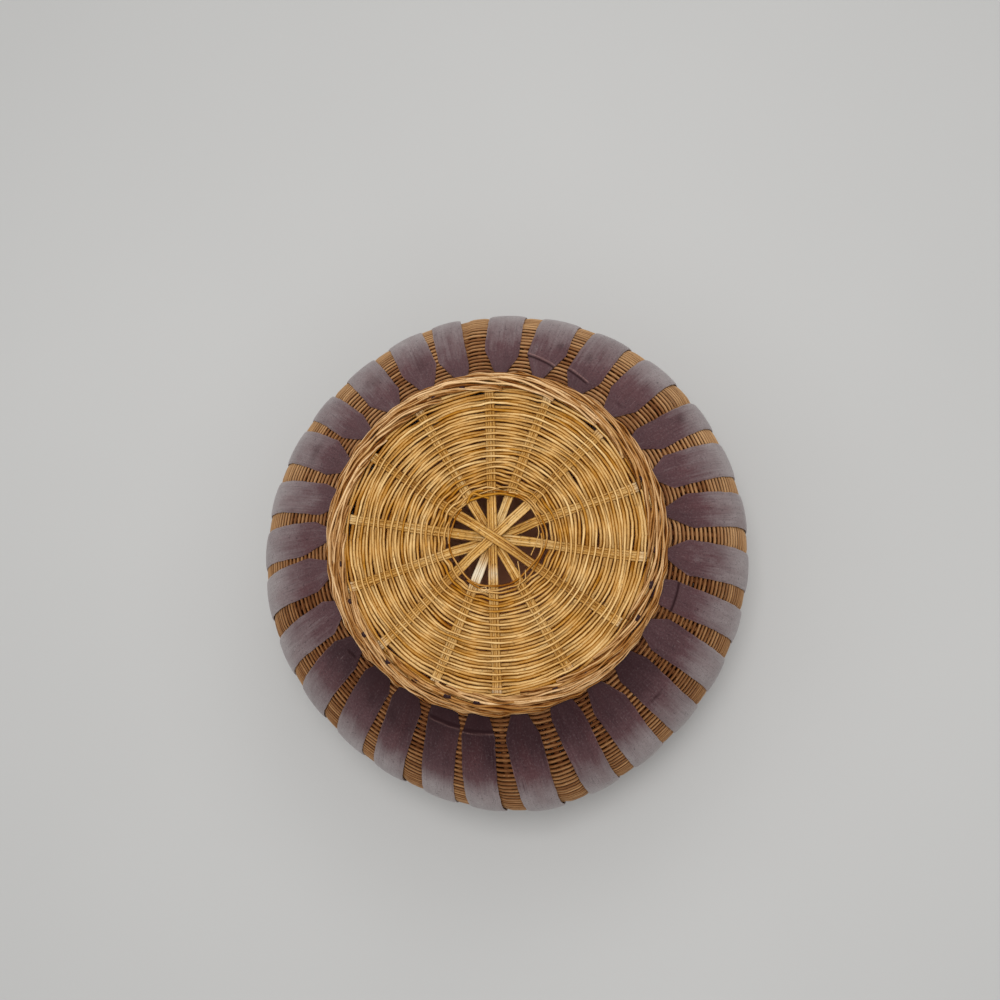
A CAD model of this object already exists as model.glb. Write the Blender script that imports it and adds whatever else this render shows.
import math

import bpy
import numpy as np
from mathutils import Matrix, Vector


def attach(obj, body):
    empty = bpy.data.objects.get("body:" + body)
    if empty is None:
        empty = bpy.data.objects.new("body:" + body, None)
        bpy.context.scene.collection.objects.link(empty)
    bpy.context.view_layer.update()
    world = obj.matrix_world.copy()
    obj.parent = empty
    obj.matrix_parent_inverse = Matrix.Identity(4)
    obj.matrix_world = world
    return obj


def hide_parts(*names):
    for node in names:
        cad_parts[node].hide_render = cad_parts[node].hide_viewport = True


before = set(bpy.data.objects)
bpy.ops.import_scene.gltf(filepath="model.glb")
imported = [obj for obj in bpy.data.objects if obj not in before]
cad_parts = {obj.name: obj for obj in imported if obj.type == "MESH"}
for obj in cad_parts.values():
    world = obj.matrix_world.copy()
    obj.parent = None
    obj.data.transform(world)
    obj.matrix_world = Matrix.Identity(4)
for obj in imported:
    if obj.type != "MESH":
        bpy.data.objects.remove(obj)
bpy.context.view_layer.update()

scene = bpy.context.scene
scene.view_settings.view_transform = "Standard"
rng = np.random.default_rng(2807)
MM = 0.001
TAU = 2 * math.pi
UP = np.array([0, 0, 1.0])

# Sizes of the basket, in mm. The forms of the wall and the spokes are those of the CAD source

FOOT_R, FOOT_Z = 68.3646, 113.349    # where the wall's sloped part starts
SLOPE = math.radians(38)             # of the wall below the foot
FOOT_LEN = 28.5269                   # length of the sloped part
BOW_R = 55.5652                      # radius of the bow above the belly
BELLY_S = 78.9563                    # length along the wall, from the foot to the belly
WALL_R, BELLY_H = 112.2, 52.0        # middle of the wall at the belly
RIM_BOW_R = 88.0                     # radius of the bow below the belly
END_S = 131.082                      # length along the wall at the rim
SLAT_COUNT = 28
SLAT_T = 0.8
SLAT_MID = 1.85                      # middle of a slat, off the middle of the wall
TIP_S = -6.2                         # length along the wall at the slats' tips, inside the foot border
BORDER_S = 6                         # length along the wall where the slats come out of the foot border
# Each slat was laid by hand: degrees off its even place, clockwise from above
SLAT_SHIFT = [1.5, 1.5, 2, 3, 4.5, 4, 3.5, 4.5, 4, 3.5, 4, 4, 3, 4.5,
              5.5, 3.5, 3.5, 2.5, 2.5, 2.5, 3.5, 2, 1.5, 2, 1, 1, 1.5, 0]
# Each slat's two sides, anticlockwise and clockwise: how far from its middle where it goes under the
# foot border, how far where it is full, and how far along the wall it gets full
TIP_CCW = [2.4, 2.5, 3.3, 3.1, 4.5, 3.2, 2.2, 2.7, 4.9, 3.3, 4.8, 3.6, 4.7, 3.2,
           4.6, 5.3, 4.2, 4.8, 3.8, 3.7, 3.7, 2.7, 4.4, 4.4, 2.7, 3.1, 3.4, 2.5]
TIP_CW = [2.3, 2.4, 3.6, 3.1, 3.1, 2.8, 2.8, 3.2, 6.1, 5.3, 5.9, 3.9, 5.9, 4.4,
          4.5, 6.8, 6.0, 4.9, 4.4, 4.3, 4.4, 4.0, 5.1, 2.3, 2.7, 2.4, 2.5, 3.4]
FULL_CCW = [8.5, 8.2, 8.1, 8.1, 6.0, 7.8, 7.2, 7.4, 5.9, 7.1, 7.1, 8.4, 6.2, 6.6,
            7.0, 6.9, 6.9, 7.3, 7.1, 7.6, 7.6, 7.4, 7.1, 7.9, 7.5, 8.1, 8.5, 8.0]
FULL_CW = [7.2, 8.4, 7.9, 8.1, 7.1, 7.4, 7.7, 7.9, 7.2, 8.1, 8.0, 7.0, 7.5, 8.5,
           7.6, 7.5, 7.5, 7.4, 8.2, 7.1, 8.1, 7.5, 7.0, 8.0, 6.0, 7.2, 7.7, 5.0]
SHOULDER_CCW = [22.5, 20, 16, 19.5, 11, 15, 18.5, 16, 11.5, 14, 14.5, 19, 14, 16.5,
                15.5, 12, 12, 12, 14.5, 14, 15, 22.5, 12.5, 16, 18, 19, 22.5, 20]
SHOULDER_CW = [18, 24.5, 17, 18, 17, 13.5, 19.5, 17, 14, 13.5, 11.5, 16.5, 11.5, 16,
               16.5, 11.5, 11.5, 11, 16, 13, 18, 15, 13.5, 20, 18, 16.5, 20, 11.5]
# How much paler or darker each slat is near the foot
SLAT_TONE = [0.07, -0.01, 0.01, 0.04, 0.02, 0.07, 0.02, 0.01, 0.02, 0.02, -0.18, -0.16, -0.15, -0.20,
             -0.26, -0.25, -0.22, -0.25, -0.12, 0.08, 0.12, 0.12, 0.14, 0.12, 0.13, 0.15, 0.00, 0.07]
# Slats that turn pale later than their tone says, and how far along the wall they start to
LATE = {1: 14, 8: 18, 9: 18, 11: 20, 15: 26, 20: 16, 24: 16, 26: 14}
STAKE_W, STAKE_T = 2.4, 1.0
STAKE_OFF = 0.15                     # middle of a stake, off the middle of the wall
SPOKE_COUNT = 7
SPOKE_W, SPOKE_T, SPOKE_R = 4.2, 0.8, 66.66
SPOKE_TURN = -4.5                                # degrees, all of them
SPOKE_SHIFT = [3, 0.5, -0.5, -1.5, -0.5, 0, 0]   # degrees, each one
SPOKE_LEVEL = [1, -1, 2, -3, -2, 3, 0]           # place in the stack where they cross
SPOKE_STEP = 0.85                                # from one level to the next
SPOKE_FLAT, SPOKE_RAMP = 10.71, 18.82            # ends of the stack's flat part and of its ramp
CROSS = np.array([-1.3, 0.9])                    # where the spokes cross
BASE_Z = 115.399                                 # middle of the spokes under the weave
HUB_R = 20.5                                     # where the weave starts
RISE_R, RISE_OVER = 59, 8                        # where the base rises to its border, and over how much


# Small helpers

def smooth(x):
    x = np.clip(x, 0, 1)
    return x * x * (3 - 2 * x)


def unit(v):
    return v / np.linalg.norm(v, axis=-1, keepdims=True)


def apart(az, az0):
    """The angle from az0 to az, at most half a turn either way."""
    return (az - az0 + math.pi) % TAU - math.pi


def relax(line, times):
    """An open line of points with its corners rounded off."""
    for _ in range(times):
        line[1:-1] = (line[:-2] + 2 * line[1:-1] + line[2:]) / 4
    return line


def srgb(r, g, b):
    """A colour as it shows on screen, 0 to 255, for a shader's socket."""
    def lin(c):
        c /= 255
        return c / 12.92 if c <= 0.04045 else ((c + 0.055) / 1.055) ** 2.4
    return (lin(r), lin(g), lin(b), 1)


def curve(x, lengths):
    """A smooth random curve along x, about -1 to 1."""
    y = sum(np.sin(TAU * x / w + rng.uniform(0, TAU)) for w in lengths)
    return y / math.sqrt(len(lengths))


def ring_curve(az, low, high, count=4):
    """A smooth random curve round a ring, about -1 to 1, that closes on itself."""
    y = sum(np.sin(rng.integers(low, high + 1) * az + rng.uniform(0, TAU)) for _ in range(count))
    return y / math.sqrt(count)


def field(waves, short, long, turns):
    """A smooth random field over (row, azimuth), about -1 to 1."""
    parts = [(TAU / rng.uniform(short, long), int(rng.integers(1, turns)), rng.uniform(0, TAU))
             for _ in range(waves)]
    return lambda q, az: sum(np.sin(k * q + m * az + p) for k, m, p in parts) / math.sqrt(waves)


def spliced(x, low, high):
    """A tone that jumps wherever a new length of strand was laid in, 0 to 1."""
    ends = np.cumsum(rng.uniform(low, high, int(x.max() / low) + 2))
    tones = rng.beta(2.2, 2.2, len(ends) + 1)
    return tones[np.searchsorted(ends, x)]


# The basket's form

def wall_pt(s, off):
    """Radius and height of a point on the wall: s along it from the foot, off outwards."""
    s, off = np.broadcast_arrays(np.asarray(s, float), np.asarray(off, float))
    ca, sa = math.cos(SLOPE), math.sin(SLOPE)
    up, down = (BELLY_S - s) / BOW_R, (s - BELLY_S) / RIM_BOW_R
    r = np.where(s <= FOOT_LEN, FOOT_R + s * ca + off * sa,
                 np.where(s <= BELLY_S, WALL_R - BOW_R + (BOW_R + off) * np.cos(up),
                          WALL_R - RIM_BOW_R + (RIM_BOW_R + off) * np.cos(down)))
    z = np.where(s <= FOOT_LEN, FOOT_Z - s * sa + off * ca,
                 np.where(s <= BELLY_S, BELLY_H + (BOW_R + off) * np.sin(up),
                          BELLY_H - (RIM_BOW_R + off) * np.sin(down)))
    return r, z


def spin(r, z, az):
    """Points, from radius, height and azimuth."""
    return np.stack([r * np.cos(az), r * np.sin(az), z + 0 * r], -1)


def on_wall(s, off, az):
    return spin(*wall_pt(s, off), az)


def wall_out(s, az):
    """Which way the wall faces."""
    return on_wall(s, 1, az) - on_wall(s, 0, az)


# How far the slats lean, in degrees from foot to belly, by degrees clockwise from the picture's top
LEAN = [(0, -0.3), (25, -0.7), (60, -0.1), (95, 0.2), (120, 0.4), (135, 1.8), (185, 2.0),
        (210, 0.5), (235, 0.9), (260, 1.5), (310, 1.3), (345, 1.5), (360, -0.3)]
LEAN_FROM, LEAN_OVER = 20, 65        # lengths along the wall
SLAT_CW = np.arange(SLAT_COUNT) * 360 / SLAT_COUNT + np.array(SLAT_SHIFT)
SLAT_LEAN = np.interp(SLAT_CW, *zip(*LEAN))


def drift(s):
    """How much of its lean a slat has taken up."""
    return (np.clip(s, TIP_S, BELLY_S) - LEAN_FROM) / LEAN_OVER


def slat_az(i, s):
    """Azimuth of a slat's middle, in radians, anticlockwise from +X."""
    return np.radians(90 - SLAT_CW[i] + SLAT_LEAN[i] * drift(s))


def stake_az(s):
    """Azimuths of the wall's stakes, one between each two slats, rising along the last axis."""
    s = np.asarray(s, float)[..., None]
    cw = np.append(SLAT_CW, SLAT_CW[0] + 360)
    lean = np.append(SLAT_LEAN, SLAT_LEAN[0])
    mid, tilt = (cw[1:] + cw[:-1]) / 2, (lean[1:] + lean[:-1]) / 2
    return np.radians(90 - mid[::-1] + tilt[::-1] * drift(s))


def beside(az):
    """1 at the stakes, -1 at the middles of the slats, round the foot."""
    marks = np.radians(90 - np.append(SLAT_CW, SLAT_CW[0] + 360))[::-1]
    a = (az - marks[0]) % TAU + marks[0]
    k = np.clip(np.searchsorted(marks, a, "right") - 1, 0, len(marks) - 2)
    return -np.cos(TAU * (a - marks[k]) / (marks[k + 1] - marks[k]))


SPOKE_AZ = np.radians(90 - np.arange(SPOKE_COUNT) * 180 / SPOKE_COUNT - SPOKE_TURN - np.array(SPOKE_SHIFT))
FIRST_ARM = 0.3                      # azimuth from which the arms are counted


def arm_az(r):
    """Azimuths of the base's 14 arms at radius r, seen from the middle, rising along the last axis."""
    r = np.asarray(r, float)[..., None]
    az = np.concatenate([SPOKE_AZ, SPOKE_AZ + math.pi])
    az = np.sort((az - FIRST_ARM) % TAU) + FIRST_ARM
    side = -CROSS[0] * np.sin(az) + CROSS[1] * np.cos(az)
    return az + np.arcsin(side / r)


# The basket isn't quite round. How far its belly stands out, in mm, by degrees clockwise from the picture's top
BELLY_OUT = [(0, 0.9), (42, 1.8), (85, 1.0), (108, -0.6), (125, -1.8), (141, -2.1), (155, -0.8), (170, 1.6),
             (183, 0.2), (200, -1.8), (225, -1.9), (240, -0.3), (255, 1.3), (285, 1.4), (321, 0.5), (340, 1.7),
             (360, 0.9)]
belly_out = np.interp(np.arange(360), *zip(*BELLY_OUT))
for _ in range(40):
    belly_out = (np.roll(belly_out, 1) + 2 * belly_out + np.roll(belly_out, -1)) / 4
belly_out = np.append(belly_out, belly_out[0])
OVAL, OVAL_MORE = 0.005, 0.010       # how much longer it is along Y, everywhere and at the belly
UNEVEN_R, UNEVEN_OVER = 70, 42       # radius where it starts to be uneven, and over how much it gets so


def oval(v):
    """The same points on the basket as it is: a little longer along Y, and uneven, more so at the belly."""
    r = np.hypot(v[:, 0], v[:, 1])
    far = smooth((r - UNEVEN_R) / UNEVEN_OVER)
    e = OVAL + OVAL_MORE * far
    cw = 90 - np.degrees(np.arctan2(v[:, 1], v[:, 0]))
    out = 1 + far * np.interp(cw % 360, np.arange(361), belly_out) / np.maximum(r, 1)
    return np.stack([v[:, 0] * (1 - e) * out, v[:, 1] * (1 + e) * out, v[:, 2]], -1)


# Mesh pieces

GRAIN_ALONG, GRAIN_ACROSS = 500, 50  # each strand gets its own place in the grain, within these


class Piece:
    """Strips and strands that make up one piece. Its UV map 'grain' holds mm across and along."""

    def __init__(self):
        self.verts, self.faces, self.uv = [], [], []
        self.tone, self.dirt, self.wear = [], [], []
        self.count = 0

    def loft(self, rings, across, along, tone, dirt, wear=0.0, closed=False):
        """rings is (n, k, 3); across is (k + 1) in mm, along is (n) in mm; tone, dirt and wear are (n, k)."""
        n, k = rings.shape[:2]
        i, j = np.meshgrid(np.arange(n if closed else n - 1), np.arange(k), indexing="ij")
        i, j = i.ravel(), j.ravel()
        i2, j2 = (i + 1) % n, (j + 1) % k
        quads = np.stack([i * k + j, i * k + j2, i2 * k + j2, i2 * k + j], -1) + self.count
        far = np.append(along, along[-1] + (along[-1] - along[-2]))[i + 1]
        uv = np.stack([across[j], along[i], across[j + 1], along[i],
                       across[j + 1], far, across[j], far], -1)
        self.faces += quads.tolist()
        self.uv.append(uv.ravel())
        if not closed:
            for row, order in ((0, range(k - 1, -1, -1)), (n - 1, range(k))):
                self.faces.append([self.count + row * k + c for c in order])
                self.uv.append(np.array([[across[c], along[row]] for c in order]).ravel())
        self.verts.append(rings.reshape(-1, 3))
        self.tone.append(np.broadcast_to(tone, (n, k)).ravel())
        self.dirt.append(np.broadcast_to(dirt, (n, k)).ravel())
        self.wear.append(np.broadcast_to(wear, (n, k)).ravel())
        self.count += n * k

    def strand(self, path, face, half_w, half_t, sides, tone, low=0.0, flank=0.5, wear=0.0, crest=0.25,
               closed=False, square=1.0):
        """A strip of rounded section along path, its broad side looking along face. low is the dirt all
        round it, flank the dirt on its underside, crest how much paler its top is."""
        n = len(path)
        if closed:
            t = unit(np.roll(path, -1, 0) - np.roll(path, 1, 0))
        else:
            t = unit(np.gradient(path, axis=0))
        side = unit(np.cross(t, face))
        out = np.cross(side, t)
        a = TAU * (np.arange(sides) + 0.5) / sides
        c, s = np.cos(a), np.sin(a)
        c, s = np.sign(c) * np.abs(c) ** square, np.sign(s) * np.abs(s) ** square
        half_w, half_t = np.broadcast_to(half_w, n), np.broadcast_to(half_t, n)
        rings = (path[:, None] - (half_w[:, None] * c)[..., None] * side[:, None]
                 + (half_t[:, None] * s)[..., None] * out[:, None])
        along = np.append(0, np.cumsum(np.linalg.norm(np.diff(path, axis=0), axis=1)))
        across = np.linspace(0, 1, sides + 1) * 4 * (half_w.mean() + half_t.mean()) * 0.8
        along = along + rng.uniform(0, GRAIN_ALONG)
        across = across + rng.uniform(0, GRAIN_ACROSS)
        under = (1 - s) / 2
        dirt = np.clip(np.broadcast_to(low, n)[:, None] + np.broadcast_to(flank, n)[:, None] * under, 0, 1)
        tone = np.broadcast_to(tone, n)[:, None] + crest * np.clip(s, 0, 1) ** 3
        self.loft(rings, across, along, tone, dirt, np.broadcast_to(wear, n)[:, None], closed)

    def make(self, name, material, slot, *nodes):
        """The finished object, shown in place of the CAD nodes named."""
        me = bpy.data.meshes.new(name)
        me.from_pydata(oval(np.concatenate(self.verts)) * MM, [], self.faces)
        me.uv_layers.new(name="grain").data.foreach_set("uv", np.concatenate(self.uv).astype(np.float32))
        for key in ("tone", "dirt", "wear"):
            values = np.concatenate(getattr(self, key)).astype(np.float32)
            me.attributes.new(key, "FLOAT", "POINT").data.foreach_set("value", values)
        me.shade_smooth()
        me.materials.append(material)
        obj = bpy.data.objects.new(name, me)
        scene.collection.objects.link(obj)
        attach(obj, "root")
        if nodes:
            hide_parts(*nodes)


# Materials

class Shader:
    """A node material, built by short calls. Most of them give back the new node's output."""

    def __init__(self, name):
        self.mat = bpy.data.materials.new(name)
        self.mat.use_nodes = True
        self.tree = self.mat.node_tree
        self.tree.nodes.clear()

    def put(self, socket, value):
        """Link the socket to another, or set it."""
        if isinstance(value, bpy.types.NodeSocket):
            self.tree.links.new(value, socket)
        else:
            socket.default_value = value

    def node(self, kind, inputs=(), **props):
        n = self.tree.nodes.new("ShaderNode" + kind)
        for key, value in props.items():
            setattr(n, key, value)
        for key, value in dict(inputs).items():
            self.put(n.inputs[key], value)
        return n

    def math(self, op, a, b=0.0, clamp=False):
        n = self.node("Math", {0: a, 1: b}, operation=op, use_clamp=clamp)
        return n.outputs[0]

    def attr(self, name):
        return self.node("Attribute", attribute_name=name).outputs["Fac"]

    def grain(self, across, along, extra=0.0):
        """The piece's grain, with that many features per mm across and along it."""
        uv = self.node("UVMap", uv_map="grain").outputs[0]
        scaled = self.node("VectorMath", {0: uv, 1: (across, along, 1)}, operation="MULTIPLY").outputs[0]
        return self.node("VectorMath", {0: scaled, 1: (extra, extra * 1.7, extra)}, operation="ADD").outputs[0]

    def noise(self, vector, detail=3.0, rough=0.55, low=0.0, high=1.0):
        n = self.node("TexNoise", {"Vector": vector, "Scale": 1.0, "Detail": detail, "Roughness": rough})
        return self.remap(n.outputs["Fac"], 0.25, 0.75, low, high)

    def remap(self, value, from_low, from_high, low=0.0, high=1.0):
        n = self.node("MapRange", {"Value": value, "From Min": from_low, "From Max": from_high,
                                   "To Min": low, "To Max": high})
        return n.outputs[0]

    def ramp(self, fac, stops):
        """A colour ramp, from stops of place and colour."""
        n = self.node("ValToRGB", {"Fac": fac})
        e = n.color_ramp.elements
        while len(e) < len(stops):
            e.new(0.5)
        for item, (at, colour) in zip(e, stops):
            item.position, item.color = at, srgb(*colour)
        return n.outputs[0]

    def mix(self, fac, a, b):
        n = self.node("Mix", data_type="RGBA")
        for socket, value in zip((n.inputs[0], n.inputs[6], n.inputs[7]), (fac, a, b)):
            self.put(socket, value)
        return n.outputs[2]

    def finish(self, colour, rough, bump=None, distance=0.0, **constants):
        """The material, with its bump up to distance high, in metres."""
        b = self.node("BsdfPrincipled", {"Base Color": colour, "Roughness": rough})
        for key, value in constants.items():
            b.inputs[key.replace("_", " ")].default_value = value
        if bump is not None:
            n = self.node("Bump", {"Height": bump, "Strength": 1.0, "Distance": distance})
            self.tree.links.new(n.outputs[0], b.inputs["Normal"])
        out = self.node("OutputMaterial")
        self.tree.links.new(b.outputs[0], out.inputs[0])
        return self.mat


def bamboo(name, dark, mid, pale, soil, cut=(238, 200, 142), gloss=(0.11, 0.40), fibre=7.0, pore=0.45,
           relief=0.00006):
    """Split bamboo or cane: tone by strand, streaks along the grain, pores, dirt in the hollows."""
    m = Shader(name)
    streak = m.noise(m.grain(fibre * 0.3, 0.035), 4, 0.65)
    fine = m.noise(m.grain(fibre, 0.10, 11.0), 3, 0.6)
    blotch = m.noise(m.grain(0.25, 0.07, 23.0), 3, 0.6)
    fac = m.math("ADD", m.math("MULTIPLY", m.attr("tone"), 0.62), m.math("MULTIPLY", streak, 0.34))
    fac = m.math("ADD", fac, m.math("MULTIPLY", blotch, 0.26))
    fac = m.math("SUBTRACT", fac, 0.12, True)
    colour = m.ramp(fac, [(0.08, dark), (0.50, mid), (0.92, pale)])
    lines = m.remap(fine, 0.28, 0.06, 0, 0.55)
    colour = m.mix(lines, colour, srgb(*soil))
    pores = m.noise(m.grain(1.1, 0.55, 67.0), 3, 0.65)
    colour = m.mix(m.remap(pores, 0.64, 0.90, 0, pore), colour, srgb(*soil))
    colour = m.mix(m.remap(pores, 0.24, 0.04, 0, 0.3 + pore * 0.5), colour, srgb(*cut))
    frayed = m.math("MULTIPLY", m.attr("wear"), m.remap(fine, 0.1, 0.6, 0.35, 1.0))
    colour = m.mix(frayed, colour, srgb(*cut))
    grime = m.noise(m.grain(0.8, 0.3, 41.0), 3, 0.6, 0.45, 0.9)
    grime = m.math("MULTIPLY", m.attr("dirt"), grime, True)
    # light bounces about in the hollows and takes up more of the colour
    bounced = m.node("Gamma", {"Color": colour, "Gamma": m.math("ADD", 1.0, grime)}).outputs[0]
    colour = m.mix(m.math("MULTIPLY", grime, 0.85), bounced, srgb(*soil))
    rough = m.remap(m.math("ADD", fine, blotch), 0.3, 1.6, gloss[0], gloss[1])
    rough = m.math("ADD", rough, m.math("MULTIPLY", grime, 0.6), True)
    bump = m.math("ADD", m.math("MULTIPLY", streak, 0.6), m.math("MULTIPLY", fine, 0.4))
    return m.finish(colour, rough, bump, relief, IOR=1.14)


def dyed(name):
    """A dyed bamboo slat: purple-brown satin with fibre streaks, specks, pale scuffs and worn edges."""
    m = Shader(name)
    streak = m.noise(m.grain(0.9, 0.02), 5, 0.65)
    fine = m.noise(m.grain(2.6, 0.06, 9.0), 3, 0.65)
    cloud = m.noise(m.grain(0.16, 0.06, 31.0), 4, 0.6)
    fac = m.math("ADD", m.math("MULTIPLY", m.attr("tone"), 0.66), m.math("MULTIPLY", streak, 0.15))
    fac = m.math("ADD", fac, m.math("MULTIPLY", cloud, 0.20))
    fac = m.math("ADD", fac, 0.02, True)
    colour = m.ramp(fac, [(0.04, (48, 22, 27)), (0.45, (92, 63, 66)), (0.92, (162, 150, 149))])
    warm = m.remap(m.noise(m.grain(0.10, 0.03, 57.0), 2, 0.5), 0.50, 1.0, 0, 0.2)
    colour = m.mix(warm, colour, srgb(104, 54, 54))
    lines = m.remap(fine, 0.38, 0.05, 0, 0.6)
    colour = m.mix(lines, colour, srgb(42, 24, 30))
    pits = m.remap(m.noise(m.grain(1.3, 0.9, 97.0), 2, 0.5), 0.66, 0.90, 0, 0.6)
    colour = m.mix(m.math("MULTIPLY", pits, m.remap(cloud, 0.35, 0.7)), colour, srgb(40, 24, 30))
    speck = m.remap(m.noise(m.grain(0.7, 0.40, 71.0), 3, 0.65), 0.70, 0.90, 0, 0.6)
    colour = m.mix(speck, colour, srgb(36, 20, 26))
    scuff = m.remap(m.noise(m.grain(1.4, 0.14, 83.0), 4, 0.7), 0.74, 1.0, 0, 0.45)
    colour = m.mix(scuff, colour, srgb(168, 150, 148))
    mottle = m.noise(m.grain(1.0, 0.8, 5.0), 5, 0.75)
    colour = m.mix(m.remap(mottle, 0.45, 0.05, 0, 0.34), colour, srgb(44, 26, 32))
    colour = m.mix(m.remap(mottle, 0.55, 0.95, 0, 0.20), colour, srgb(170, 156, 156))
    worn = m.math("MULTIPLY", m.attr("wear"), m.remap(fine, 0.2, 0.7, 0.3, 1.0))
    colour = m.mix(worn, colour, srgb(160, 122, 116))
    colour = m.mix(m.attr("dirt"), colour, srgb(36, 10, 14))
    rough = m.remap(m.math("ADD", streak, fine), 0.4, 1.6, 0.34, 0.50)
    rough = m.math("ADD", rough, m.math("MULTIPLY", m.attr("dirt"), 0.3), True)
    bump = m.math("ADD", m.math("MULTIPLY", mottle, 0.6), m.math("MULTIPLY", fine, 0.6))
    bump = m.math("MULTIPLY", bump, m.math("SUBTRACT", 1.0, m.attr("dirt")))
    return m.finish(colour, rough, bump, 0.00016, IOR=1.2, Coat_Weight=0.12, Coat_Roughness=0.30,
                    Sheen_Weight=0.10, Sheen_Roughness=0.30)


weft_mat = bamboo("base_weft_split", (136, 76, 8), (189, 131, 38), (248, 212, 152), (42, 6, 0))
spoke_mat = bamboo("base_spoke_strip", (136, 86, 30), (214, 166, 92), (249, 222, 170), (58, 18, 0),
                   cut=(238, 226, 204), fibre=3.2, pore=1.0, relief=0.00015)
wall_mat = bamboo("wall_weft_split", (84, 44, 20), (134, 90, 54), (200, 156, 110), (30, 8, 2),
                  cut=(206, 172, 130), gloss=(0.30, 0.50))
stake_mat = bamboo("wall_stake_strip", (84, 46, 26), (126, 82, 52), (170, 126, 86), (28, 8, 4), fibre=4.0)
cane_mat = bamboo("border_cane_split", (120, 68, 26), (180, 128, 68), (240, 202, 154), (34, 6, 0), fibre=5.0)
slat_mat = dyed("dyed_slat_bamboo")


# The base: seven spokes that cross in a stack, and two weavers that chase each other round them

def spoke_height(x, level):
    """How far a spoke stands over the base's middle plane, x mm from the crossing."""
    return level * SPOKE_STEP * smooth((SPOKE_RAMP - np.abs(x)) / (SPOKE_RAMP - SPOKE_FLAT))


GROOVE_SEED = 50
GROOVE_AT, GROOVE_W = np.array([-0.45, 0.05, 0.5]), 0.09


def groove(u, k):
    """The lengthwise grooves in the face of spoke k; u runs from -1 to 1 across it."""
    g = np.random.default_rng(GROOVE_SEED + k)
    at = GROOVE_AT + g.uniform(-0.12, 0.12, 3)
    deep = g.uniform(0.10, 0.26, 3)
    return -sum(d * np.exp(-((u - a) / GROOVE_W) ** 2) for a, d in zip(at, deep)) - 0.22 * np.abs(u) ** 8


# Pale worn patches on the spokes: mm from the crossing, half length, strength
SCUFFS = {1: (-16.0, 5.5, 1.0), 0: (-15.5, 2.6, 0.5)}
SPOKE_TONE = [0.5, 0.6, 0.52, 0.56, 0.6, 0.34, 0.5]
SPOKE_GIRTH = 9.6                    # round its section
WOVEN_FROM, WOVEN_TO = 20, 62        # part of a spoke that the weave covers, from the crossing
face_u = np.linspace(-1, 1, 25)
under_u = np.linspace(1, -1, 7)[1:-1]
for k in range(SPOKE_COUNT):
    piece = Piece()
    reach = SPOKE_R - rng.uniform(0.6, 2.4, 2)
    x = np.concatenate([np.linspace(-reach[0], -22, 22), np.linspace(-21, 21, 43),
                        np.linspace(22, reach[1], 22)])
    out = np.abs(x)
    d = np.array([math.cos(SPOKE_AZ[k]), math.sin(SPOKE_AZ[k]), 0])
    n = np.array([-d[1], d[0], 0])
    u = np.concatenate([face_u, under_u])
    grooves = groove(face_u, k)
    up = np.concatenate([SPOKE_T / 2 + grooves, np.full(len(under_u), -SPOKE_T / 2)])
    half = SPOKE_W / 2 + 0.13 * curve(x, [23, 41, 77])
    sway = 0.22 * curve(x, [60, 95])
    woven = smooth((out - WOVEN_FROM) / 4) * smooth((WOVEN_TO - out) / 3)
    z = BASE_Z + spoke_height(x, SPOKE_LEVEL[k]) - 0.18 * woven + 1.9 * smooth((out - RISE_R) / RISE_OVER)
    mid = np.append(CROSS, 0) + x[:, None] * d + sway[:, None] * n
    rings = mid[:, None] + (half[:, None] * u)[..., None] * n + (z[:, None] + up)[..., None] * UP
    hollow = np.concatenate([np.clip(-grooves * 4.6, 0, 0.9), np.full(len(under_u), 0.6)])
    dirt = np.clip(hollow + 0.13 * woven[:, None], 0, 1)
    tone = np.clip(SPOKE_TONE[k] + 0.15 * curve(x, [30, 70]), 0, 1)
    wear = 0.45 * smooth((out - WOVEN_TO) / 2)
    if k in SCUFFS:
        at, half_len, strength = SCUFFS[k]
        wear = wear + strength * np.exp(-((x - at) / half_len) ** 2)
    corners = np.concatenate([np.clip((np.abs(face_u) - 0.8) / 0.1, 0, 1), np.zeros(len(under_u))])
    rubbed = corners * np.clip(0.3 + 0.5 * curve(x, [5, 13]), 0, 1)[:, None]
    # each spoke is cut from its own place in the grain
    across, along = np.linspace(0, SPOKE_GIRTH, len(u) + 1) + k * 13, x + k * 160
    piece.loft(rings, across, along, tone[:, None], dirt, np.clip(wear[:, None] + 0.12 * rubbed, 0, 1))
    piece.make(f"spoke_strip_{k + 1}", spoke_mat, "base_bamboo", f"base_spoke_{k + 1}")


NEAR_MOST, REACH_MOST = 0.42, 0.62   # parts of the gap between two uprights


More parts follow.
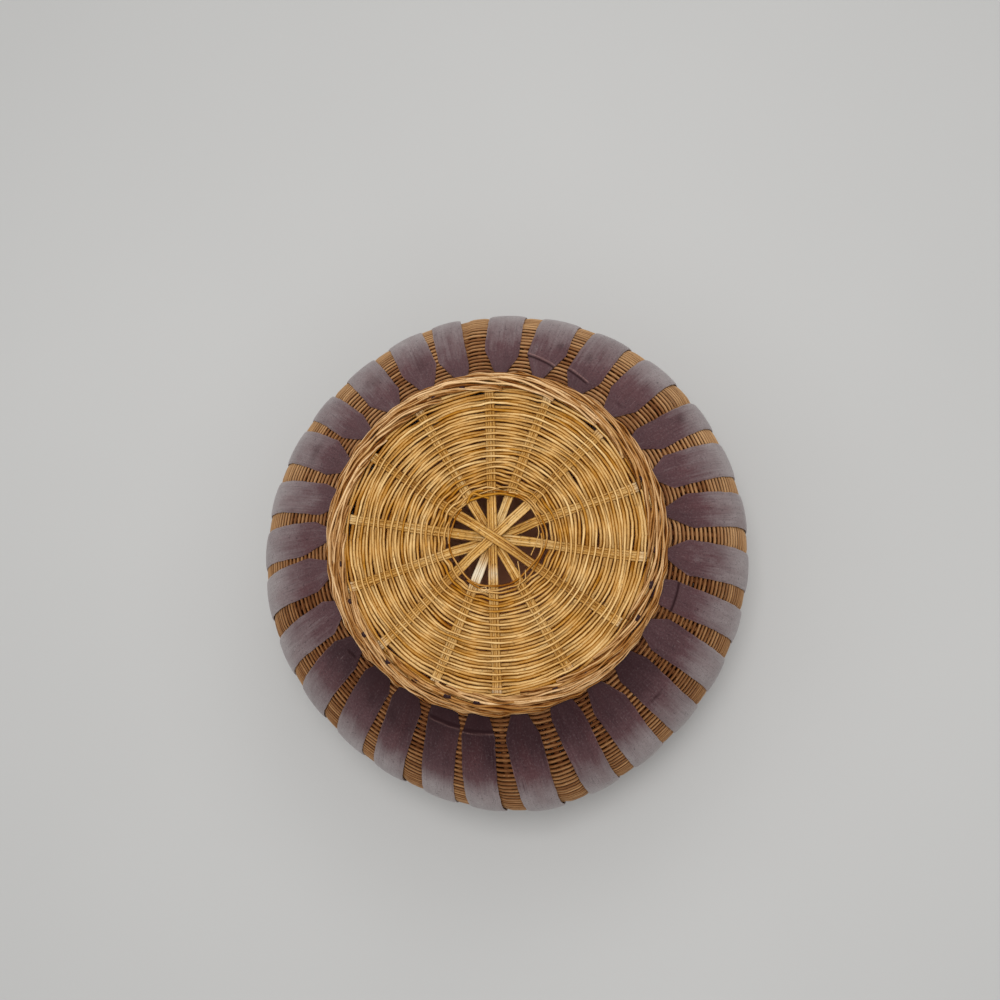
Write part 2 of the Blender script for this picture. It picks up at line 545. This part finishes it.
def weave(q0, pitch, turns, parity, uprights, radius, hold, reach, near, mid):
    """One weaver, over and under the uprights in turn. It stays fully over or under one for hold mm to each
    side, and lets go of it within reach mm more. Its points lie near mm from an upright, and at the mid
    parts of what is left between two.
    Gives its rows, how far it is over (1) or under (-1), and its azimuths, all along it."""
    count = uprights(np.array([q0])).shape[-1]
    n, j = (v.ravel() for v in np.meshgrid(np.arange(turns), np.arange(count), indexing="ij"))
    row = q0 + pitch * (n + j / count)
    az = uprights(row)
    pick = np.arange(len(n))
    a0 = az[pick, j][:, None]
    a1 = (az[pick, (j + 1) % count] + TAU * (j + 1 == count))[:, None]
    gap = (a1 - a0) * radius(row)[:, None]
    near = np.array(near) * np.minimum(1, NEAR_MOST * gap / near[-1])
    middle = near[:, -1:] + (gap - 2 * near[:, -1:]) * np.array(mid)
    d = np.concatenate([near, middle, gap - near[:, :0:-1]], 1)
    q = row[:, None] + pitch * d / gap / count
    reach = np.minimum(reach, gap * REACH_MOST - hold)
    sign = np.where((j + parity) % 2 == 0, 1, -1)[:, None]
    over = sum(w * np.cos(np.pi / 2 * np.clip((x - hold) / reach, 0, 1)) ** 2
               for w, x in ((sign, d), (-sign, gap - d)))
    return q.ravel(), over.ravel(), (a0 + (a1 - a0) * d / gap + TAU * n[:, None]).ravel()


# Places where the rows stand apart beside an arm: azimuth, radius, how far each row moves, half length
PARTINGS = [(math.radians(84), 24.3, 0.55, 4.0), (math.radians(42), 26.0, 0.5, 3.5),
            (math.radians(126), 25.5, 0.5, 3.5), (math.radians(300), 24.4, 0.5, 4.0),
            (math.radians(212), 25.0, 0.4, 3.5)]
PARTED_R = 45.0                      # radius at which the arms' places are taken
for arm in arm_az(np.array([PARTED_R]))[0]:
    for side in rng.permutation([-1, 1])[:rng.integers(1, 3)]:
        r0 = rng.uniform(29, 63)
        az0 = arm + side * rng.uniform(3.2, 5.5) / r0
        PARTINGS.append((az0, r0, rng.uniform(0.25, 0.55), rng.uniform(2.2, 3.6)))
# slits at the base's edge, on both sides of every arm
SLIT_R = 63.5
slits = np.random.default_rng(64)
for arm in arm_az(np.array([SLIT_R]))[0]:
    for side in (-1, 1):
        az0 = arm + side * slits.uniform(3.4, 5.0) / SLIT_R
        PARTINGS.append((az0, slits.uniform(62.6, 64.0), slits.uniform(0.3, 0.8), slits.uniform(2.4, 4.0)))


def parted(q, az):
    """How far the partings move the rows."""
    d = 0
    for az0, r0, wide, long in PARTINGS:
        x = apart(az, az0) * r0
        d = d + wide * np.exp(-(x / long) ** 2 - np.abs(q - r0) / 4) * np.tanh((q - r0) / 0.5)
    return d


# Small rubbed places that catch the light: azimuth and radius
GLINTS = [(math.radians(160), 33), (math.radians(334), 37), (math.radians(252), 35), (math.radians(208), 37)]
glint_at = np.random.default_rng(33)
base_field = field(7, 7, 24, 9)
BASE_PITCH, BASE_SWING, BASE_EDGE = 2.58, 0.80, 68.2
BASE_TURNS, BASE_HOLD, BASE_REACH = 20, 1.7, 11.0
for parity, node in ((0, "base_weft_outer"), (1, "base_weft_inner")):
    q, over, az = weave(HUB_R + 0.5 + parity * BASE_PITCH / 2, BASE_PITCH, BASE_TURNS, parity, arm_az,
                        lambda r: r, BASE_HOLD, BASE_REACH, [0, 1.2, 2.2, 3.4], [0.25, 0.5, 0.75])
    q, over, az = (v[q < BASE_EDGE] for v in (q, over, az))
    run = np.append(0, np.cumsum(np.abs(np.diff(az)) * q[1:]))
    loose = 1 + 1.6 * smooth((HUB_R + 6 - q) / 6)
    r = q + 0.48 * base_field(q, az) * smooth((68 - q) / 6) + 0.12 * loose * curve(run, [17, 29, 53])
    r = r + parted(q, az) - 0.5 * (1 - over ** 2) * smooth((34 - q) / 12)
    z = BASE_Z + BASE_SWING * over + 0.10 * loose * curve(run, [13, 31])
    z = z + 2.0 * smooth((q - RISE_R) / RISE_OVER)
    half_w = 0.74 - 0.03 * over ** 2 - 0.17 * over + 0.05 * curve(run, [37, 90, 160])
    half_w = half_w * (1 - 0.14 * smooth((30 - q) / 8))
    half_t = 0.45 + 0.03 * curve(run, [45, 110])
    tone = 0.25 + 0.46 * spliced(run, 90, 420) + 0.10 * curve(run, [25, 60])
    tone = np.clip(tone - 0.12 * smooth((40 - q) / 16), 0, 1)
    rubbed = 0.3 * smooth((q - 57) / 6) * curve(run, [70, 130, 210])
    for az0, r0 in GLINTS:
        near = np.exp(-((apart(az, az0) * r0) ** 2 + (q - r0) ** 2) / 30)
        rubbed = rubbed + near * (glint_at.uniform(0, 1, len(q)) > 0.7) * (over > 0)
    piece = Piece()
    piece.strand(spin(r, z, az), UP, half_w, half_t, 8, tone, low=np.clip(0.12 - 0.20 * over, 0, 1),
                 flank=1.4 + 0.4 * over ** 2, wear=np.clip(rubbed, 0, 1), crest=0.5)
    piece.make("base_weaver_" + "ab"[parity], weft_mat, "base_bamboo", node)

# Start of the weave: thin, untidy turns at the hub (radius, height over the spokes, azimuth of the end)
START_TURNS = ((20.2, 0.55, 0.0), (19.6, 0.75, 2.4), (21.2, 0.95, 4.1))
piece = Piece()
for r0, level, phase in START_TURNS:
    az = phase + np.linspace(0, rng.uniform(2.6, 5.2), 90)
    r = r0 + 0.55 * curve(az, [0.9, 1.7, 3.1])
    z = BASE_Z + level + 0.3 * curve(az, [0.7, 1.3])
    tone = np.clip(0.45 + 0.25 * curve(az, [0.8, 2.0]), 0, 1)
    piece.strand(spin(r, z, az), UP, 0.45, 0.36, 7, tone, low=0.3, flank=1.2)
# and a few loose fibres and strands that stand off it: points over the base's middle
FIBRES = [[(18.0, 5.6, 1.0), (18.6, 2.6, 1.5), (17.3, -1.8, 1.5), (15.0, -6.9, 0.9)],
          [(9.4, -9.3, 0.9), (10.2, -13.6, 1.4), (10.5, -17.6, 1.3), (9.6, -20.4, 1.2)],
          [(-9.8, 18.6, 1.2), (-3.3, 20.6, 1.9), (3.0, 22.4, 1.6), (6.5, 22.2, 1.3)],
          [(12.6, -13.0, 0.8), (12.9, -17.0, 1.5), (9.0, -19.6, 1.7), (3.5, -20.6, 1.3)]]
STRANDS = [[(-11.0, 16.6, 1.6), (-4.6, 18.6, 2.3), (2.4, 19.6, 2.3), (8.4, 18.2, 1.6)],
           [(-11.6, 17.9, 1.5), (-9.2, 19.7, 2.6), (-6.4, 18.6, 2.4), (-2.6, 17.6, 1.2)],
           [(-12.2, 15.4, 1.3), (-10.4, 19.2, 2.4), (-8.4, 20.6, 2.0), (-5.4, 21.0, 1.3)]]
for lines, wide, tone in ((FIBRES, 0.22, 0.6), (STRANDS, 0.5, 0.3)):
    for points in lines:
        knots = np.array(points) + BASE_Z * UP
        t = np.linspace(0, len(knots) - 1, 28)
        path = relax(np.stack([np.interp(t, range(len(knots)), knots[:, c]) for c in range(3)], -1), 6)
        piece.strand(path, UP, wide, 0.8 * wide, 7, tone)
# a frayed place at the hub's lower edge
FRAY_X, FRAY_Y, FRAY_Z = -4.6, -21.4, BASE_Z + 1.5
bend = np.linspace(-1, 1, 9)
for _ in range(12):
    a, b = rng.normal(-0.2, 0.5), rng.uniform(0.8, 2.2)
    path = np.stack([FRAY_X + rng.normal(0, 0.7) + b * bend * math.cos(a),
                     FRAY_Y + rng.normal(0, 0.5) + b * bend * math.sin(a),
                     FRAY_Z - 0.5 * bend ** 2 + rng.uniform(-0.2, 0.3)], -1)
    piece.strand(path, UP, 0.13, 0.11, 6, 0.9, flank=0.3, wear=0.6)
piece.make("hub_start_strands", weft_mat, "base_bamboo")


# The wall: 28 stakes, two weavers round them, 28 dyed slats outside

piece = Piece()
s = np.linspace(-1.7, END_S - 0.2, 64)
for j in range(SLAT_COUNT):
    az = stake_az(s)[:, j]
    half_w = STAKE_W / 2 + 0.08 * curve(s, [25, 60])
    tone = np.clip(0.5 + 0.2 * rng.normal() + 0.1 * curve(s, [20, 50]), 0, 1)
    piece.strand(on_wall(s, STAKE_OFF, az), wall_out(s, az), half_w, STAKE_T * 0.6, 10, tone, low=0.45,
                 square=0.7)
piece.make("wall_stake_strips", stake_mat, "wall_bamboo", "wall_stakes")

wall_field = field(8, 9, 30, 14)
WALL_PITCH, WALL_SWING, WALL_BOW = 2.6, 0.9, 0.22
WALL_TURNS, WALL_HOLD, WALL_REACH = 50, 2.2, 5.0
WALL_START, WALL_STOP = 0.6, END_S - 1
GLOOM_AZ = math.radians(268)         # the wall is grimier on the side at the picture's bottom
for parity, node in ((0, "wall_weft_outer"), (1, "wall_weft_inner")):
    q, over, az = weave(WALL_START + parity * WALL_PITCH / 2, WALL_PITCH, WALL_TURNS, parity, stake_az,
                        lambda s: wall_pt(s, 0)[0], WALL_HOLD, WALL_REACH, [0, 1.4, 2.6, 3.8, 5.4], [])
    q, over, az = (v[q < WALL_STOP] for v in (q, over, az))
    run = np.append(0, np.cumsum(np.abs(np.diff(az)) * wall_pt(q[1:], 0)[0]))
    calm = smooth((q - 1) / 4) * smooth((WALL_STOP - q) / 4)
    stray = 0.24 * wall_field(q, az) + 0.10 * curve(run, [19, 33, 71])
    s = q + calm * (stray + WALL_BOW * np.clip(over, -0.4, 1) * smooth((22 - q) / 14))
    half_w = 0.98 - 0.03 * over + 0.05 * curve(run, [41, 97, 170])
    half_t = 0.46 + 0.03 * curve(run, [51, 120])
    gloom = smooth((np.cos(az - GLOOM_AZ) + 0.35) / 0.9)
    tone = 0.2 + 0.6 * spliced(run, 150, 700) + 0.08 * curve(run, [25, 60])
    tone = np.clip(tone + 0.45 * smooth((6 - q) / 5) + 0.27 * smooth((q - 28) / 40) - 0.20 * gloom, 0, 1)
    low = (0.14 - 0.14 * over) * (1 - 0.6 * smooth((q - 15) / 50)) + 0.13 * gloom * smooth((70 - q) / 40)
    wear = 0.30 * smooth((q - 30) / 18) * (1 - 0.8 * gloom)
    swing = WALL_SWING * np.where(over < 0, 0.65, 1) * over
    piece = Piece()
    piece.strand(on_wall(s, swing, az), wall_out(s, az), half_w, half_t, 6, tone, low=low,
                 flank=1.1 - 0.4 * smooth((q - 28) / 14), wear=wear, crest=0.35)
    piece.make("wall_weaver_" + "ab"[parity], wall_mat, "wall_bamboo", node)


def slat_half(s, tip, full, shoulder):
    """How far one side of a slat is from its middle, all along it: a straight taper up to the shoulder."""
    body = np.interp(s, [15, BELLY_S, END_S], [full, full + 0.8, 0.95 * full])
    below = shoulder - s
    taper = body - (full - tip) / (shoulder - BORDER_S) * 0.5 * (below + np.hypot(below, 0.7))
    # inside the border it runs out to a narrow tip
    return np.clip(taper, 1.2, 1.2 + 0.55 * np.maximum(s + 4.8, 0))


# Nodes of the bamboo that show: place along the slat, slant, height, from where to where across it, paleness
NODE_RIDGES = {1: [(17.5, -0.35, 0.34, -1, 1, 0.9)], 2: [(14.6, -0.35, 0.30, -1, 0.3, 0.9)],
               5: [(86.0, 0.0, 0.24, -1, 1, 0.2)], 8: [(14.0, 0.0, 0.30, -1, 1, 0.1)],
               14: [(14.0, 0.05, 0.32, -1, 1, 0.8)], 15: [(12.6, -0.1, 0.40, -1, 0.8, 1.0)],
               18: [(12.5, 0.3, 0.2, -0.6, 0.1, 0.1)], 20: [(97.0, 0.1, 0.24, -1, 1, 0.2)],
               25: [(90.0, 0.0, 0.24, -1, 1, 0.2)]}
# Dark marks on the slats: place along and across, half length, half width, strength
MARKS = {1: [(29, 4.5, 2.6, 1.8, 0.55)], 2: [(28, -3, 2.8, 1.6, 0.5)], 3: [(13, 0.5, 1.0, 2.2, 0.5)],
         4: [(36, -1, 3.5, 1.8, 0.5)], 10: [(32, 2.5, 0.6, 3.6, 0.7)],
         16: [(33, -3.5, 0.6, 1.8, 0.6), (22, 4.5, 3.2, 1.4, 0.35)],
         23: [(30, 0, 2.2, 5.5, 0.35)], 25: [(31, 0, 4.5, 6.0, 0.3)], 26: [(24, 1, 8.0, 2.0, 0.3)]}
TIPS_SHOWN = (8, 9, 14, 15, 17, 18)  # slats whose tips stand highest out of the foot border
LIFT, LIFT_SHOWN = 1.9, 3.2          # how far the border's canes lift the tips

# Points across a slat, from its anticlockwise to its clockwise side on top, and back underneath
top = np.array([-1, -0.985, -0.95, -0.85, -0.6, -0.3, 0, 0.3, 0.6, 0.85, 0.95, 0.985, 1])
lower = top[::-1][1:-1:2]
both = np.concatenate([top, lower])
upper = np.concatenate([np.ones(len(top)), np.zeros(len(lower))])[None]
section = np.concatenate([SLAT_T / 2 - 0.30 * np.abs(top) ** 14 - 0.05 * top ** 2,
                          np.full(len(lower), -SLAT_T / 2)])
for i in range(SLAT_COUNT):
    piece = Piece()
    shown = i in TIPS_SHOWN
    start = TIP_S + (1.4 if shown else rng.uniform(0.8, 2.0))
    s = np.concatenate([np.linspace(start, 26, 46), np.linspace(27.2, BELLY_S, 34), np.linspace(81, END_S, 30)])
    left = slat_half(s, TIP_CCW[i], FULL_CCW[i], SHOULDER_CCW[i]) + 0.12 * curve(s, [9, 21, 47])
    right = slat_half(s, TIP_CW[i], FULL_CW[i], SHOULDER_CW[i]) + 0.12 * curve(s, [8, 23, 51])
    u = both[None] + 0 * s[:, None]
    x = np.where(u < 0, u * left[:, None], u * right[:, None])
    # bent to the basket's round, and cupped a little more than that
    off = SLAT_MID + section[None] - x ** 2 / (2 * wall_pt(s, 0)[0][:, None]) - 0.25 * u ** 2
    off = off + (LIFT_SHOWN if shown else LIFT) * smooth((-1.2 - s) / 2.6)[:, None]
    dirt = np.clip(0.1 - 3.0 * SLAT_TONE[i], 0.1, 0.8) * smooth((34 - s) / 30)[:, None] + 0 * x
    dirt = np.maximum(dirt, 0.85 * smooth((1 - s) / 2)[:, None])
    for at, over_at, long, wide, strength in MARKS.get(i, []):
        dirt = dirt + strength * np.exp(-((s[:, None] - at) / long) ** 2 - ((x - over_at) / wide) ** 2)
    pale = 0 * x
    for at, slant, height, lo, hi, worn in NODE_RIDGES.get(i, []):
        here = smooth((u - lo) / 0.15 + 1) * smooth((hi - u) / 0.15 + 1) * upper
        near = s[:, None] - at - slant * x
        off = off + here * height * (np.exp(-(near / 0.55) ** 2) - 0.4 * np.exp(-((near + 1.3) / 0.7) ** 2))
        dirt = dirt + here * np.exp(-((near + 1.2) / 0.7) ** 2)
        pale = pale + here * 1.5 * worn * np.exp(-(near / 0.35) ** 2)
    edge = pale + np.clip((np.abs(u) - 0.95) / 0.04, 0, 1) * (0.15 + 0.35 * curve(s, [13, 31, 70])[:, None])
    a = slat_az(i, s)[:, None]
    r, z = wall_pt(s[:, None] + 0 * off, off)
    # x runs clockwise, so it counts against the azimuth
    rings = np.stack([r * np.cos(a) + x * np.sin(a), r * np.sin(a) - x * np.cos(a), z], -1)[:, ::-1]
    late = LATE.get(i, 8 + 44 * max(0, -SLAT_TONE[i]))
    bloom = smooth((s - late) / (60 - late)) * (1 - 0.4 * smooth((s - 78) / 40))
    glare = 0.80 - 0.10 * max(0, math.cos(math.radians(SLAT_CW[i] - 75)))
    tone = 0.2 + SLAT_TONE[i] + (glare - SLAT_TONE[i]) * bloom + 0.06 * rng.normal() + 0.06 * curve(s, [40, 90])
    # each slat is cut from its own place in the grain
    across, along = np.append(both[::-1], -1.2) * 8 + 9 + i * 31, s + i * 211
    piece.loft(rings, across, along, np.clip(tone, -0.1, 1)[:, None], np.clip(dirt, 0, 1)[:, ::-1],
               np.clip(edge, 0, 1)[:, ::-1])
    piece.make(f"slat_strip_{i + 1:02d}", slat_mat, "dyed_slat", f"slat_{i + 1:02d}")


# Foot border: the end of each stake comes out, turns clockwise and works inwards over the next ones

# Radius and height across the border's outside, from the outer to the inner edge
BORDER = np.array([(71.7, 112.5), (72.8, 115.0), (72.0, 116.9), (70.4, 118.3), (68.4, 119.2), (66.5, 119.5),
                   (65.0, 119.1), (64.4, 117.9)])
BORDER_STEPS, BORDER_PASSES = 200, 120
border_run = np.append(0, np.cumsum(np.linalg.norm(np.diff(BORDER, axis=0), axis=1)))
fine_run = np.linspace(0, border_run[-1], BORDER_STEPS)
border_line = np.stack([np.interp(fine_run, border_run, BORDER[:, c]) for c in range(2)], -1)
border_line = relax(border_line, BORDER_PASSES)
border_face = np.gradient(border_line, axis=0)
border_face = unit(np.stack([border_face[:, 1], -border_face[:, 0]], -1))
stake_cw = math.pi / 2 - stake_az(np.array([2.0]))[0][::-1]
CANE_START = -0.35                   # where a cane comes out, in stakes
CANES = ((0.0, 0.0), (0.85, 0.6), (-0.7, 0.3))    # at each stake: how far across the border, how deep in it
CANE_HALF_T = 0.50
foot = [Piece(), Piece(), Piece()]
for i in range(SLAT_COUNT):
    span = rng.uniform(5.6, 6.8)
    t = np.linspace(CANE_START, span, 90)
    whole = np.arange(-1, 9) + i
    cw = np.interp(t + i, whole, stake_cw[whole % SLAT_COUNT] + TAU * (whole // SLAT_COUNT))
    az = math.pi / 2 - cw
    for across, deep in CANES:
        x = np.interp(t, [CANE_START, 0, span + CANE_START, span],
                      [0, border_run[1] * 0.9, border_run[6], border_run[7]])
        x = x + across + 0.36 * np.sin(TAU * t) * smooth((t + 0.3) * 2) * smooth(1 - t / 2.6)
        x = x + (0.55 * curve(t, [2.3, 4.1]) + 0.17 * curve(t, [0.9, 1.4])) * smooth(t)
        pick = np.clip(x / border_run[-1], 0, 1) * (BORDER_STEPS - 1)
        r, z, fr, fz = (np.interp(pick, range(BORDER_STEPS), v) for v in (*border_line.T, *border_face.T))
        # the outer edge is drawn in over the slats and stands out at the stakes
        r = r + (1.5 * (0.5 + 0.5 * beside(az)) ** 3 - 0.5) * smooth(1 - x / 6)
        off = 0.27 * curve(t, [0.8, 1.7]) + 0.25 * smooth(1 - np.abs(t - 0.35) / 0.5) - deep
        half_w = rng.uniform(0.44, 0.60) * (1 + 0.10 * curve(t, [0.9, 2.3]))
        tone = np.clip(0.5 + 0.24 * rng.normal() + 0.16 * curve(t, [1.5, 4.0]), 0, 1)
        low = np.clip(0.06 + 1.1 * deep + 0.4 * smooth(-t / 0.3 + 0.4) + 0.1 * curve(t, [0.9]), 0, 1)
        wear = np.clip(curve(t, [1.3, 2.9]) - 0.6, 0, 0.6) * smooth(t - span + 2.5)
        foot[i % 3].strand(spin(r + off * fr, z + off * fz, az), spin(fr, fz, az), half_w, CANE_HALF_T, 9, tone,
                           low=low, flank=1.4, wear=wear, crest=0.35)
for k in range(3):
    foot[k].make(f"foot_canes_{k + 1}", cane_mat, "border_cane", f"foot_wale_{k + 1}")


# Rim border: bundles of split cane, twisted round and round

RIM_SIDES, RIM_STEPS, RIM_LOOSE = 7, 420, 0.14


def bundle(pieces, canes, turns, centre, along, outward, a, b, half_w, half_t, bulge):
    """A flat twisted bundle round the basket, its half sizes a along and b outward.
    centre, along and outward are (radius, height); bulge is how far it swings at each stake."""
    az = np.linspace(0, TAU, RIM_STEPS, endpoint=False)
    by = beside(az)
    for c in range(canes):
        turn = TAU * c / canes - turns * az
        turn = turn + RIM_LOOSE * (0.6 * ring_curve(az, 3, 9) + 0.5 * ring_curve(az, 14, 30))
        turn = turn + rng.uniform(-0.1, 0.1)
        u = -a * (1 - 0.05 * by) * np.cos(turn) + bulge * by + 0.06 * ring_curve(az, 20, 60)
        v = b * np.sin(turn) * (1 + 0.12 * by) + 0.05 * ring_curve(az, 20, 50)
        r = centre[0] + u * along[0] + v * outward[0]
        z = centre[1] + u * along[1] + v * outward[1]
        fu, fv = -np.cos(turn) / a, np.sin(turn) / b
        face = spin(fu * along[0] + fv * outward[0], fu * along[1] + fv * outward[1], az)
        w = half_w * (1 + 0.10 * ring_curve(az, 2, 12))
        tone = np.clip(0.5 + 0.2 * rng.normal() + 0.12 * ring_curve(az, 2, 9), 0, 1)
        low = np.clip(0.4 - 0.4 * np.sin(turn), 0, 1)
        piece = pieces[c * len(pieces) // canes]
        piece.strand(spin(r, z, az), face, w, half_t, RIM_SIDES, tone, low=low, flank=0.8, closed=True)


rim_turn = (END_S - BELLY_S) / RIM_BOW_R
rim_dir = np.array([-math.sin(rim_turn), -math.cos(rim_turn)])
rim_out = np.array([math.cos(rim_turn), -math.sin(rim_turn)])
OUTER_AT = tuple(float(v) for v in wall_pt(END_S - 3.75, 4.59))
INNER_AT, EDGE_AT = (95.36, 5.51), (96.148, 1.45)
outer, inner, edge = [Piece(), Piece()], [Piece()], [Piece()]
bundle(outer, 10, 5, OUTER_AT, rim_dir, rim_out, 1.95, 1.0, 0.60, 0.46, 0.20)
bundle(inner, 6, 6, INNER_AT, rim_dir, rim_out, 0.75, 0.62, 0.52, 0.42, 0.10)
bundle(edge, 8, 6, EDGE_AT, np.array([-1.0, 0]), np.array([0, -1.0]), 1.15, 0.85, 0.52, 0.44, 0.05)
for p, name, node in ((outer[0], "rim_canes_1", "rim_wale_1"), (outer[1], "rim_canes_2", "rim_wale_2"),
                      (inner[0], "rim_canes_3", "rim_wale_3"), (edge[0], "rim_edge_canes", "rim_edge")):
    p.make(name, cane_mat, "border_cane", node)


# Floor, light and camera

RIM_SHADE, HUB_SHADE = (250, 172, 132), (225, 148, 112)


def floor_material():
    m = Shader("floor_paper")
    place = m.node("TexCoord").outputs["Object"]
    n = m.node("TexNoise", {"Vector": place, "Scale": 3.0, "Detail": 3.0})
    colour = m.ramp(n.outputs["Fac"], [(0.3, (194, 193, 191)), (0.7, (198, 197, 195))])
    out = m.node("VectorMath", {0: place}, operation="LENGTH").outputs["Value"]
    colour = m.mix(m.remap(out, 0.20, 0.42, 0, 0.5), colour, srgb(184, 183, 181))
    # inside the rim the paper takes the basket's own warm shade; only the hub's gaps show it
    colour = m.mix(m.remap(out, 0.080, 0.090), srgb(*RIM_SHADE), colour)
    colour = m.mix(m.remap(out, 0.020, 0.034), srgb(*HUB_SHADE), colour)
    return m.finish(colour, 0.9)


FLOOR_HALF, FLOOR_DEEP = 3.0, 0.2
corners = [(x * FLOOR_HALF, y * FLOOR_HALF, z)
           for z in (0, -FLOOR_DEEP) for x, y in ((-1, -1), (1, -1), (1, 1), (-1, 1))]
sides = [(0, 1, 2, 3), (7, 6, 5, 4), (0, 4, 5, 1), (1, 5, 6, 2), (2, 6, 7, 3), (3, 7, 4, 0)]
sheet = bpy.data.meshes.new("floor")
sheet.from_pydata(corners, [], sides)
sheet.materials.append(floor_material())
floor = bpy.data.objects.new("floor", sheet)
scene.collection.objects.link(floor)

# A pale room, brighter towards the picture's top
ROOM_TINT, ROOM_DIM, ROOM_BRIGHT, ROOM_SPAN = (0.985, 0.995, 1.0, 1), 0.52, 0.66, 0.9
world = bpy.data.worlds.new("studio")
world.use_nodes = True
room = world.node_tree
place = room.nodes.new("ShaderNodeTexCoord")
split = room.nodes.new("ShaderNodeSeparateXYZ")
fade = room.nodes.new("ShaderNodeMapRange")
for socket, value in (("From Min", -ROOM_SPAN), ("From Max", ROOM_SPAN),
                      ("To Min", ROOM_DIM), ("To Max", ROOM_BRIGHT)):
    fade.inputs[socket].default_value = value
room.links.new(place.outputs["Generated"], split.inputs[0])
room.links.new(split.outputs["Y"], fade.inputs["Value"])
room.links.new(fade.outputs[0], room.nodes["Background"].inputs["Strength"])
room.nodes["Background"].inputs["Color"].default_value = ROOM_TINT
scene.world = world


def lamp(name, at, look, size, power):
    data = bpy.data.lights.new(name, "AREA")
    data.shape, data.size, data.energy = "SQUARE", size, power
    obj = bpy.data.objects.new(name, data)
    obj.location = at
    obj.rotation_euler = (Vector(look) - Vector(at)).to_track_quat("-Z", "Y").to_euler()
    scene.collection.objects.link(obj)


lamp("key", (0.0, 0.05, 1.25), (0, 0, 0.06), 0.4, 6.4)
lamp("window", (0.22, 0.92, 0.95), (0, 0, 0.05), 0.7, 1.7)

PICTURE_PX, LENS_PX = 1000, 1207     # the picture's width, and the focal length in its pixels
SENSOR = 36
LOOK_EL, LOOK_AZ = math.radians(79.08), math.radians(23.4)
LOOK_AT, LOOK_FROM = Vector((-2.4, 26.9, 60)) * MM, 570.3 * MM
flat = math.cos(LOOK_EL)
back = Vector((flat * math.sin(LOOK_AZ), -flat * math.cos(LOOK_AZ), math.sin(LOOK_EL)))
right = (-back).cross(Vector((0, 1, 0))).normalized()
above = right.cross(-back)
camera = bpy.data.objects.new("camera", bpy.data.cameras.new("camera"))
camera.data.sensor_width = SENSOR
camera.data.lens = SENSOR * LENS_PX / PICTURE_PX
camera.data.clip_start = 0.01
camera.matrix_world = (Matrix.Translation(LOOK_AT + back * LOOK_FROM)
                       @ Matrix((right, above, back)).transposed().to_4x4())
scene.collection.objects.link(camera)
scene.camera = camera
